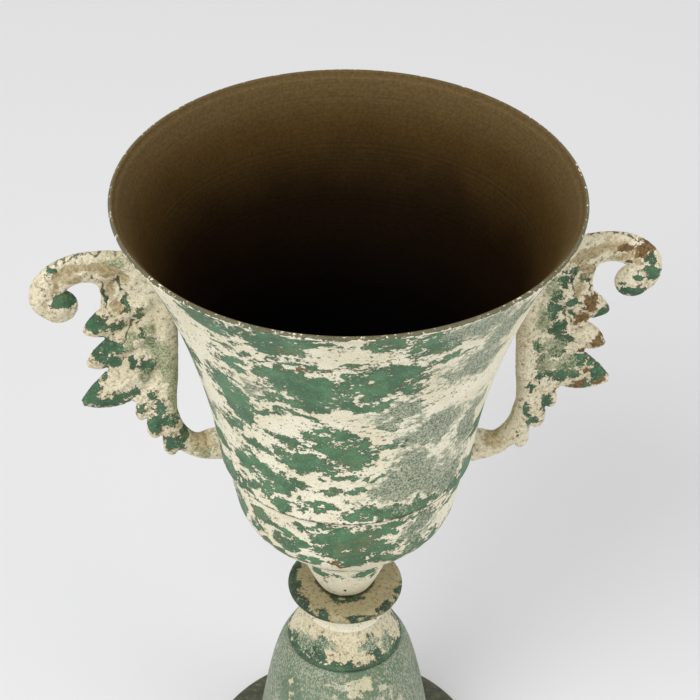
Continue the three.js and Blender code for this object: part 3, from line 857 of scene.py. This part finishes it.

# %% [markdown]
# ## Where the cream paint is gone
# The wear is laid out in front, as rounded marks in azimuth and height, and the rest of
# the urn gets marks of the same sizes from a seeded draw. The marks are only a soft level on the
# points: the material breaks their edges up with noise, as flaking paint does.

# %% Marks on bell and bowl
FRONT_WORN = [
    (-38, 505, 10, 8), (-20, 507, 14, 9), (-18, 497, 8, 8), (-8, 511, 6, 5), (10, 508, 9, 6),
    (22, 500, 8, 14), (27, 492, 6, 8), (-35, 470, 4, 5), (-36, 462, 6, 4), (-20, 465, 9, 10),
    (-8, 458, 12, 14), (8, 462, 14, 16), (17, 470, 6, 14), (20, 447, 6, 5), (5, 440, 12, 6),
    (-15, 437, 10, 6), (-25, 430, 4, 3), (-42, 425, 9, 16), (-38, 410, 8, 8), (-44, 397, 6, 6),
    (-50, 387, 8, 5), (-7, 405, 8, 10), (-5, 392, 9, 10), (3, 385, 8, 14), (-22, 392, 9, 5),
    (-20, 378, 12, 8), (-28, 396, 5, 4), (-14, 372, 10, 7), (-3, 365, 5, 4), (-38, 357, 12, 9),
    (-46, 347, 9, 7), (-28, 350, 9, 8), (-36, 341, 6, 4), (-18, 350, 6, 5), (-25, 330, 8, 6),
    (-50, 322, 8, 4), (10, 325, 10, 8), (25, 325, 10, 6), (42, 322, 10, 5), (50, 335, 6, 10),
    (-8, 298, 10, 9), (4, 300, 12, 8), (0, 283, 16, 9), (-22, 290, 8, 5), (-30, 284, 8, 6),
    (-45, 300, 6, 10), (-50, 285, 6, 5), (8, 275, 12, 6), (33, 290, 6, 7), (35, 280, 6, 5),
    (20, 304, 10, 4), (40, 305, 8, 6), (-6, 248, 9, 5), (18, 236, 6, 5), (-30, 484, 16, 2.5),
    (2, 483, 8, 2), (-12, 482, 9, 2), (30, 478, 6, 3), (-28, 448, 12, 3), (24, 432, 10, 3),
    (-30, 418, 9, 3), (-16, 420, 8, 3), (14, 415, 7, 3), (18, 398, 6, 4), (-34, 378, 12, 3),
    (12, 368, 8, 3), (2, 350, 9, 3), (-8, 336, 12, 3), (-40, 332, 9, 3), (24, 312, 18, 3),
    (-16, 308, 10, 3), (-34, 296, 8, 4), (18, 290, 9, 5), (26, 272, 12, 5), (-16, 272, 10, 5),
    (-36, 270, 14, 4), (48, 275, 9, 6),
]
FRONT_RUBBED = [
    (36, 505, 10, 14), (30, 350, 22, 18), (24, 365, 8, 24), (34, 400, 14, 18), (18, 425, 10, 12),
    (42, 457, 13, 18), (48, 480, 7, 24), (55, 380, 6, 34), (44, 340, 12, 16), (-30, 445, 6, 10),
    (12, 345, 8, 8), (38, 295, 10, 14),
]
FRONT_RUST = [(-5, 270, 5, 3), (-3, 480, 4, 1.2), (14, 441, 4, 1.2), (-12, 474, 5, 1.2)]
NECK_WORN = [
    (-30, 220, 17, 5), (28, 222, 14, 3.5), (40, 215, 8, 3), (120, 216, 24, 6), (200, 220, 26, 5),
    (258, 210, 18, 6),
]


def drawn_marks(count, seed, *ranges):
    """Marks at random, each of their four numbers between the ends of its own range."""
    random = np.random.default_rng(seed)
    return np.column_stack([random.uniform(*ends, count) for ends in ranges]).tolist()


def azimuth_of(places):
    """Degrees round the urn from the front, counted towards +X."""
    return np.degrees(np.arctan2(places[:, 0], -places[:, 1]))


def bent(spots, seed, *sizes, least=20):
    """The azimuth of each point moved aside by waves, and the waves that its height is moved by."""
    aside, upward = stirred(spots, seed, *sizes)
    out = np.maximum(np.hypot(spots[:, 0], spots[:, 1]), least)
    return azimuth_of(spots) + np.degrees(aside / out), upward


def near(heights, *seams):
    """How near each height is to a seam, given as (height, half width), from 0 to 1."""
    return np.max([np.exp(-((heights - seam) / half) ** 2) for seam, half in seams], axis=0)


BEHIND = (62, 298)
BODY_MARKS = {
    "worn": FRONT_WORN + drawn_marks(190, 31, BEHIND, (244, 514), (4, 13), (3, 11)),
    "rubbed": FRONT_RUBBED + drawn_marks(18, 32, BEHIND, (270, 512), (5, 14), (8, 26)),
    "rust": FRONT_RUST + drawn_marks(12, 33, BEHIND, (262, 500), (2, 6), (2, 5)),
}
for made in (bell, bowl, neck):
    spots = points_of(made.data)
    around, upward = bent(spots, 61, (34, 4.5), (14, 3.0), (7, 1.6))
    levels = {
        label: marks_at(around, spots[:, 2] + 0.8 * upward, marks, TURN)
        for label, marks in BODY_MARKS.items()
    }
    if made is neck:
        around, upward = bent(spots, 63, (12, 1.2), (6, 0.7), least=0)
        levels["worn"] = marks_at(around, spots[:, 2] + upward, NECK_WORN, TURN)
    # Painted shade: this level darkens the crease at the waist; it also darkens the joints with the
    # bowl and the knop.
    levels["grime_and_shade"] = 0.85 * near(spots[:, 2], (WAIST + 0.8, 1.8), (NECK_TOP, 1.3), (KNOP_TOP, 1.6))
    levels["edge"] = 0.77 * near(spots[:, 2], (RIM_TOP - 0.5, 1.7))
    for label, level in levels.items():
        field(made, label, level)

# %% [markdown]
# The knop is worn along its edge, so its marks count the radius in place of the height. On the
# pedestal the colours are the other way round: its marks are chips of cream left on the green.

# %% Marks on the stem, pedestal and base
KNOP_WORN = [
    (-80, 38, 30, 5), (-112, 39, 24, 4), (-48, 40, 18, 2.4), (-24, 39.5, 9, 3), (12, 40.6, 14, 1.6),
    (46, 39.4, 12, 3), (78, 40.4, 18, 2), (-12, 23, 16, 2.6), (8, 22.4, 10, 2), (26, 24.5, 9, 1.6),
    (160, 39, 40, 4), (215, 40, 20, 3),
]
COLLAR_WORN = [
    (-40, 146, 14, 5), (-24, 147, 9, 5), (-26, 154, 8, 4), (36, 147, 8, 6), (30, 152, 6, 4),
    (-62, 143, 16, 5), (60, 144, 12, 4), (6, 142, 5, 3), (120, 147, 26, 7), (180, 144, 22, 5),
    (230, 148, 16, 8), (-10, 141, 8, 2),
]
PEDESTAL_CREAM = [
    (-52, 118, 3, 4), (-44, 108, 2, 5), (-36, 117, 3, 2), (6, 127, 10, 3), (20, 129, 9, 4),
    (10, 120, 5, 6), (34, 118, 5, 4), (42, 112, 3, 4), (30, 108, 4, 4), (-8, 116, 3, 3),
    (-2, 131, 12, 2), (16, 100, 5, 6), (50, 105, 4, 8), (-24, 100, 3, 5), (-12, 126, 10, 2),
]
PEDESTAL_CREAM += drawn_marks(70, 41, (-180, 180), (14, 128), (2, 7), (2, 6))
COLLAR_HAZE = [
    (-24, 153, 12, 4), (30, 152, 12, 5), (-52, 148, 14, 6), (56, 148, 12, 6), (150, 150, 40, 6),
]
STEM_WORN = [(-46, 172, 8, 4), (52, 170, 9, 4), (150, 172, 20, 5)]
for made, marks in ((collar, COLLAR_WORN), (stem_ring, STEM_WORN), (pedestal, PEDESTAL_CREAM)):
    spots = points_of(made.data)
    around, upward = bent(spots, 71, (16, 2.2), (7, 1.2))
    worn = marks_at(around, spots[:, 2] + upward, marks, TURN)
    rubbed = marks_at(around, spots[:, 2], COLLAR_HAZE if made is collar else [], TURN)
    if made is collar:
        worn = np.maximum(worn, 1.3 * near(spots[:, 2] + 0.5 * upward, (PEDESTAL_TOP + 1.6, 3.4)))
    if made is pedestal:
        # The haze grows paler away from the front, from 36 degrees round to 72.
        aslant = np.clip(np.abs(azimuth_of(spots)) / 90 - 0.4, 0, 0.4)
        rubbed = 0.34 + 0.24 * waves(spots * [1, 1, 0.4], 34, 75) + 0.9 * aslant
    field(made, "worn", worn)
    # Darker at the top of the stem ring, under the knop, and at the pedestal's foot on the base
    # plate.
    field(made, "grime_and_shade", near(spots[:, 2], (STEM_TOP, 0.9), (SEAT + SHEET, 3)))
    field(made, "rubbed", rubbed)
spots = points_of(knop.data)
out = np.hypot(spots[:, 0], spots[:, 1])
around, upward = bent(spots, 73, (14, 1.6), (6, 1.0), least=12)
field(knop, "worn", marks_at(around, out + upward, KNOP_WORN, TURN))
# Darker in a ring on top of the knop, where the neck stands on it.
field(knop, "grime_and_shade", near(out, (NECK_FOOT + 1, 2.4)) * (spots[:, 2] > KNOP_TOP - 0.5) - 0.1)

# %% [markdown]
# ## Studio
# A pale floor, a soft even sky and one large lamp, as in a product photograph. The floor shows a
# plain grey to the camera through Light Path, so the lamps don't have to be turned up for it.

# %% Node helpers
def linear(hex_colour):
    """An sRGB colour such as #E8E0C4 as linear red, green, blue and alpha."""
    parts = [int(hex_colour[i:i + 2], 16) / 255 for i in (1, 3, 5)]
    parts = [part / 12.92 if part <= 0.04045 else ((part + 0.055) / 1.055) ** 2.4 for part in parts]
    return (*parts, 1.0)


def picked(sockets, key):
    """One of the sockets in use, by its number or its name."""
    used = [socket for socket in sockets if socket.enabled]
    return used[key] if isinstance(key, int) else next(each for each in used if each.name == key)


def node(tree, kind, inputs=None, output=0, **settings):
    """Adds one shader node and gives back one of its outputs. Settings are the node's own
    properties, and each input is a value, an sRGB colour as text, or a socket to link."""
    made = tree.nodes.new("ShaderNode" + kind)
    for key, value in settings.items():
        setattr(made, key, value)
    for key, value in (inputs or {}).items():
        socket = picked(made.inputs, key)
        if isinstance(value, bpy.types.NodeSocket):
            tree.links.new(value, socket)
        else:
            socket.default_value = linear(value) if isinstance(value, str) else value
    return picked(made.outputs, output) if len(made.outputs) else None


def fresh(name):
    """A new material with an empty node tree, and that tree."""
    material = bpy.data.materials.new(name)
    material.use_nodes = True
    material.node_tree.nodes.clear()
    return material, material.node_tree

# %% World, floor and lamps
world = bpy.data.worlds.new("studio")
world.use_nodes = True
bpy.context.scene.world = world
tree = world.node_tree
tree.nodes.clear()
sky = node(tree, "Background", {"Color": "#FFFFFF", "Strength": 0.74})
node(tree, "OutputWorld", {"Surface": sky})

LEFT, RIGHT, FRONT, BACK = -6000, 6000, -3000, 9000
floor_corners = [(LEFT, FRONT, 0), (RIGHT, FRONT, 0), (RIGHT, BACK, 0), (LEFT, BACK, 0)]
floor = meshed("floor", floor_corners, [(0, 1, 2, 3)])
material, tree = fresh("pale studio paper")
floor.data.materials.append(material)
seen = node(tree, "LightPath", output="Is Camera Ray")
shade = node(tree, "Mix", {0: seen, 1: "#E4E4E5", 2: "#E0E0E1"}, data_type="RGBA")
paper = node(tree, "BsdfPrincipled", {"Base Color": shade, "Roughness": 0.9})
node(tree, "OutputMaterial", {"Surface": paper})


def lamp(name, place, size, watts, aim=(0, 0, 0.35)):
    """A square area lamp at a place, aimed at a point on the urn."""
    light = bpy.data.lights.new(name, "AREA")
    light.shape, light.size, light.energy = "SQUARE", size, watts
    made = linked(name, light)
    made.location = place
    made.rotation_euler = (Vector(aim) - Vector(place)).to_track_quat("-Z", "Y").to_euler()


lamp("key", (-1.3, -1.7, 2.6), 1.8, 56)
lamp("fill", (1.9, -1.2, 1.6), 1.6, 14)

# %% [markdown]
# ## Paint
# Two coats on steel: a green one and a cream one over it. On the real urn the cream coat flakes
# off in patches with ragged edges, its surface is a little proud there, and dust and rubbing
# leave a grey-green haze. One material function builds all of that from noise in object
# coordinates and the wear on the points. An image painted by hand would need a texture file.

# %% Paint material
def roughened(tree, level, *parts):
    """The level plus the share of each (pattern, share) times how far the pattern is from 0.5."""
    for pattern, share in parts:
        lowered = node(tree, "Math", {0: level, 1: share / 2}, operation="SUBTRACT")
        level = node(tree, "Math", {0: pattern, 1: share, 2: lowered}, operation="MULTIPLY_ADD")
    return level


def coat(tree, under, over, level, low_edge, high_edge, most=1.0):
    """Lays one colour over another where a level rises from one edge to the other."""
    share = node(tree, "MapRange", {0: level, 1: low_edge, 2: high_edge, 3: 0.0, 4: most},
                 interpolation_type="SMOOTHSTEP")
    return node(tree, "Mix", {0: share, 1: under, 2: over}, data_type="RGBA")


def shaded(tree, colour, dark, pattern, low_edge, high_edge):
    """Darkens a colour, by a grey at most, where a pattern is low."""
    grey = coat(tree, dark, "#FFFFFF", pattern, low_edge, high_edge)
    return node(tree, "Mix", {0: 1.0, 1: colour, 2: grey}, data_type="RGBA", blend_type="MULTIPLY")


def surface(tree, colour, rough, height, strength, **more):
    """The end of a material: a shader whose relief is a height in millimetres."""
    relief = node(tree, "Bump", {"Strength": strength, "Distance": MM, "Height": height})
    shader = node(tree, "BsdfPrincipled", {
        "Base Color": colour, "Roughness": rough, "Normal": relief,
        **{name.replace("_", " "): value for name, value in more.items()},
    })
    node(tree, "OutputMaterial", {"Surface": shader})


def painted(name, cream="#F6F0D7", cream_dark="#E1D6B2", green="#57855D", green_dark="#446A49",
            pale="#B0B599", shade="#46614C", tan="#A18B61", edge="#67644A", spot=12.0, flat=1.4,
            streak=1.0, flaky=2.4, step=0.25, lumps=0.0, grain_size=1.5, rough=0.55, salty=0.92,
            tanned=0.0, outline=0.65):
    """Cream over green. Where the worn level plus noise of four sizes passes the chip level, the
    green shows. In millimetres, spot is the largest patch of the noise, grain_size a grain of the
    haze, step the thickness of the cream coat (below 0 it lies lower) and lumps the depth of the
    cast grain. Above 1, flat and streak squeeze patches and grains in height. Salty, tanned and
    outline are the strengths of the haze, the tan tone and a painted shadow: a dark line on the
    green beside the edge of the cream."""
    chip = 0.46
    material, tree = fresh(name)
    where = node(tree, "TexCoord", output="Object")
    lying = node(tree, "Mapping", {"Vector": where, "Scale": (1, 1, flat)})
    running = node(tree, "Mapping", {"Vector": where, "Scale": (1, 1, streak)})
    worn, rubbed, rust, grime_and_shade, rim, sandy = (
        node(tree, "Attribute", output="Fac", attribute_name=label)
        for label in ("worn", "rubbed", "rust", "grime_and_shade", "edge", "sandy")
    )
    # Each size is a real one in millimetres but for two. A pixel covers 0.8 mm of the urn, so the
    # grains of chalked paint, really 0.1 mm, are drawn at 0.75, and those of the haze, really
    # 0.3 mm, at 1.5.
    broad, ragged, flakes, fine, sand, grains, pores, tone, moss, cast = (
        node(tree, "TexNoise", {"Vector": across, "Scale": 1000 / size, "Detail": detail,
                                "Roughness": harsh, "Distortion": warp})
        for across, size, detail, harsh, warp in (
            (where, 40, 3, 0.55, 0),
            (lying, spot, 6, 0.70, 0.5),
            (lying, spot * 0.36, 5, 0.70, 0.4),
            (where, 1.9, 3, 0.6, 0),
            (where, 0.75, 2, 0.6, 0),
            (running, grain_size, 2, 0.75, 0),
            (where, 2.6, 2, 0.5, 0),
            (where, 20, 5, 0.65, 0),
            (where, 22, 5, 0.65, 0.5),
            (where, 2.6, 4, 0.6, 0.3),
        )
    )

    level = roughened(tree, worn, (broad, 0.8), (ragged, 2.1), (flakes, flaky), (fine, 1.1))
    bare = node(tree, "MapRange", {0: level, 1: chip - 0.02, 2: chip + 0.02},
                interpolation_type="SMOOTHSTEP")
    past_edge = node(tree, "Math", {0: level, 1: chip + 0.08}, operation="SUBTRACT")
    off_edge = node(tree, "Math", {0: past_edge}, operation="ABSOLUTE")

    cream_coat = coat(tree, cream, cream_dark, broad, 0.4, 0.62, 0.5)
    cream_coat = coat(tree, cream_coat, cream_dark, flakes, 0.54, 0.70, 0.6)
    cream_coat = coat(tree, cream_coat, tan, cast, 0.48, 0.60, tanned)
    cream_coat = coat(tree, cream_coat, "#6E6547", pores, 0.655, 0.70, 0.8)
    green_coat = coat(tree, green, green_dark, tone, 0.4, 0.6)
    green_coat = coat(tree, green_coat, "#8BA58A", fine, 0.54, 0.70, 0.45)
    green_coat = coat(tree, green_coat, "#77764A", moss, 0.56, 0.68, 0.6)
    colour = node(tree, "Mix", {0: bare, 1: cream_coat, 2: green_coat}, data_type="RGBA")
    # Painted shadow: a dark line on the green just past the edge of the cream coat.
    colour = coat(tree, colour, "#47472F", off_edge, 0.17, 0.0, outline)

    salt = coat(tree, shade, pale, grains, 0.43, 0.57)
    ochre = coat(tree, "#8F7B52", "#C6B386", cast, 0.4, 0.6)
    rust_tone = coat(tree, "#574225", "#8A6B3A", flakes, 0.42, 0.6)
    for over, start, parts, low_edge, high_edge, most in (
        (salt, rubbed, ((ragged, 1.5), (flakes, 1.7), (grains, 1.4)), 0.36, 0.54, salty),
        (ochre, sandy, ((flakes, 1.8), (grains, 0.8)), 0.3, 0.75, 0.85),
        (rust_tone, rust, ((ragged, 1.2), (flakes, 2.2), (fine, 0.8)), 0.5, 0.56, 1.0),
        # Dark olive where the level read above rises: painted shade in the crease at the waist, and
        # darkening of veins, joints and edges.
        ("#33371F", grime_and_shade, ((flakes, 1.8), (fine, 0.6)), 0.35, 0.7, 0.85),
        (edge, rim, ((flakes, 2.2), (fine, 0.8)), 0.44, 0.56, 1.0),
    ):
        level = roughened(tree, start, *parts)
        colour = coat(tree, colour, over, level, low_edge, high_edge, most)
    colour = shaded(tree, colour, "#CFCFCF", sand, 0.2, 0.75)

    height = node(tree, "Math", {0: sand, 1: 0.08}, operation="MULTIPLY")
    for pattern, depth in ((bare, -step), (fine, 0.12), (cast, -lumps), (grains, lumps / 3)):
        height = node(tree, "Math", {0: pattern, 1: depth, 2: height}, operation="MULTIPLY_ADD")
    surface(tree, colour, rough, height, 1.0, Specular_IOR_Level=0.35)
    return material

# %% [markdown]
# The base plate and the fasteners have one coat or none, so a simpler material serves them. The
# inside of the shells was lacquered dark in one go, and the spinner's tool has left faint rings in
# it. Its colour is painted lighter near the rim, where light falls in, and darker to almost black
# below: painted light and painted shade.

# %% Plain coats and lacquer
def plain(name, colour, dark, size, rough, metallic=0.0, grain=0.05, fleck=None):
    """One coat: two tones mixed by noise of a size in millimetres, with a grain drawn at 1 mm in
    place of 0.1 mm, so that it shows, and, if wanted, flecks."""
    material, tree = fresh(name)
    where = node(tree, "TexCoord", output="Object")
    mottle, sand, chips = (
        node(tree, "TexNoise", {"Vector": where, "Scale": 1000 / wide, "Detail": detail,
                                "Roughness": 0.65})
        for wide, detail in ((size, 6), (1.0, 3), (size * 0.6, 5))
    )
    shown = coat(tree, colour, dark, mottle, 0.38, 0.62)
    if fleck:
        shown = coat(tree, shown, fleck, chips, 0.60, 0.66, 0.8)
    shown = shaded(tree, shown, "#C8C8C8", sand, 0.2, 0.8)
    height = node(tree, "Math", {0: sand, 1: grain}, operation="MULTIPLY")
    surface(tree, shown, rough, height, 0.8, Metallic=metallic)
    return material


def lacquer(name):
    """Dark bronze lacquer whose colour holds painted light and shade: lighter brown at the rim and
    nearly black below. It has clouds of 45 mm, tool rings drawn at 1.6 mm (really 0.5 mm, too fine
    to show) and a weave of 2 mm. Levels are heights in metres."""
    material, tree = fresh(name)
    where = node(tree, "TexCoord", output="Object")
    height = node(tree, "SeparateXYZ", {0: where}, output="Z")
    level = node(tree, "CombineXYZ", {"Z": height})
    cloud, rings, weave = (
        node(tree, "TexNoise", {"Vector": across, "Scale": 1000 / size, "Detail": detail,
                                "Roughness": harsh})
        for across, size, detail, harsh in (
            (where, 45, 5, 0.6), (level, 1.6, 3, 0.7), (where, 2.0, 3, 0.6),
        )
    )
    # Painted shade: the colour darkens to nearly black with depth in the bowl.
    depth = roughened(tree, height, (cloud, 0.03))
    shown = coat(tree, "#231505", "#614A24", depth, 0.435, 0.53)
    shown = coat(tree, "#040201", shown, depth, 0.36, 0.47)
    # Painted light: a lighter band near the rim, where light falls in.
    shown = coat(tree, shown, "#7C6847", height, 0.485, 0.525, 0.6)
    for pattern in (rings, weave):
        shown = shaded(tree, shown, "#DADADA", pattern, 0.3, 0.7)
    raised = node(tree, "Math", {0: rings, 1: 0.03}, operation="MULTIPLY")
    surface(tree, shown, 0.7, raised, 0.4, Specular_IOR_Level=0.05)
    return material

# %% [markdown]
# ## The finishes
# Old oil paint has an IOR near 1.5 and, chalked, a roughness of 0.5 to 0.7, which gives the eye
# a broad dull light and no clear reflection. Metallic is 0 wherever paint or lacquer covers the
# steel. Specular is lowered a little because dust lies on it.

# %% Materials
# Brushed oil paint on spun steel, chipped where it was knocked: chalky cream, and a thin dark
# line painted in as the shadow of its quarter of a millimetre step up from the green.
bell_paint = painted("chipped cream paint over green")
# Sprayed lacquer in the bowl, never polished, so it has no gloss. Its colour is painted lighter
# at the rim and darker below: painted light and painted shade.
inside_paint = lacquer("dark bronze lacquer")
# The same paint on a sand casting: lumps 2 to 3 mm across and half a millimetre deep show
# through it, a tan tone lies in the hollows between them, and the patches are smaller.
handle_paint = painted(
    "chipped paint on sand casting", cream="#EEE5C9", cream_dark="#CFC29B", green="#47704F",
    green_dark="#35583C", pale="#AFB28C", shade="#5F7550", salty=0.8, spot=7.0, flat=1.0,
    flaky=1.7, rough=0.62, lumps=0.55, tanned=0.5)
# Paint with sand in it, dull and rough to the eye, rubbed to dark green on its edge.
knop_paint = painted(
    "sandy taupe paint", cream="#B0A580", cream_dark="#958A66", green="#3B5539",
    green_dark="#2A3D2A", rough=0.7, spot=7.0, flat=1.0, flaky=2.0, lumps=0.5, tan="#857850",
    tanned=0.6)
# The bell's paint again, thicker and dirtier on the collar.
stem_paint = painted(
    "chipped stem paint", cream="#E2D9BA", cream_dark="#C2B68E", green="#46694C",
    green_dark="#33533C", spot=6.0, flat=1.0, flaky=2.2, lumps=0.35, tanned=0.45, pale="#ABB193",
    shade="#55705A")
# Green paint rubbed with a pale wash that ran down while wet, so its grains are drawn out in
# height. The marks are chips of cream that stand proud, so the colours and the step swap.
pedestal_paint = painted(
    "dusty green paint with cream chips", cream="#748A70", cream_dark="#4D684F", green="#E2DCC0",
    green_dark="#CFC7A4", pale="#B7B6A0", shade="#58705C", salty=0.75, spot=6.0, flat=0.8,
    step=-0.15, outline=0.2, tan="#7E8A62", tanned=0.4, grain_size=1.1, streak=0.35)
# Dark paint worn by feet and water, mottled at 8 mm.
base_paint = plain("worn dark green paint", "#5C5B42", "#35402C", 8, 0.55, fleck="#7F7653")
# Rolled steel left bare in the dry: metallic 1, and rough enough to show no clear reflection.
steel = plain("dull plain steel", "#6E6A64", "#57534E", 6, 0.42, 1.0, 0.03)

# %% Fasten finishes
INWARD, UPWARD, FLOOR_DEPTH = -0.05, 0.9, 20
for made in (bell, bowl, neck):
    for material in (bell_paint, inside_paint):
        made.data.materials.append(material)
    centres, normals = (numbers(made.data.polygons, name) for name in ("center", "normal"))
    centres = centres / MM
    outward = (centres[:, :2] * normals[:, :2]).sum(1) / np.hypot(centres[:, 0], centres[:, 1])
    bottom = (normals[:, 2] > UPWARD) & (centres[:, 2] < WAIST - FLOOR_DEPTH)
    made.data.polygons.foreach_set("material_index", ((outward < INWARD) | bottom).astype(np.int32))
for material, *pieces in (
    (handle_paint, *handles), (knop_paint, knop), (bell_paint, stem_ring), (stem_paint, collar),
    (pedestal_paint, pedestal), (base_paint, base), (steel, *fasteners),
):
    for made in pieces:
        made.data.materials.append(material)
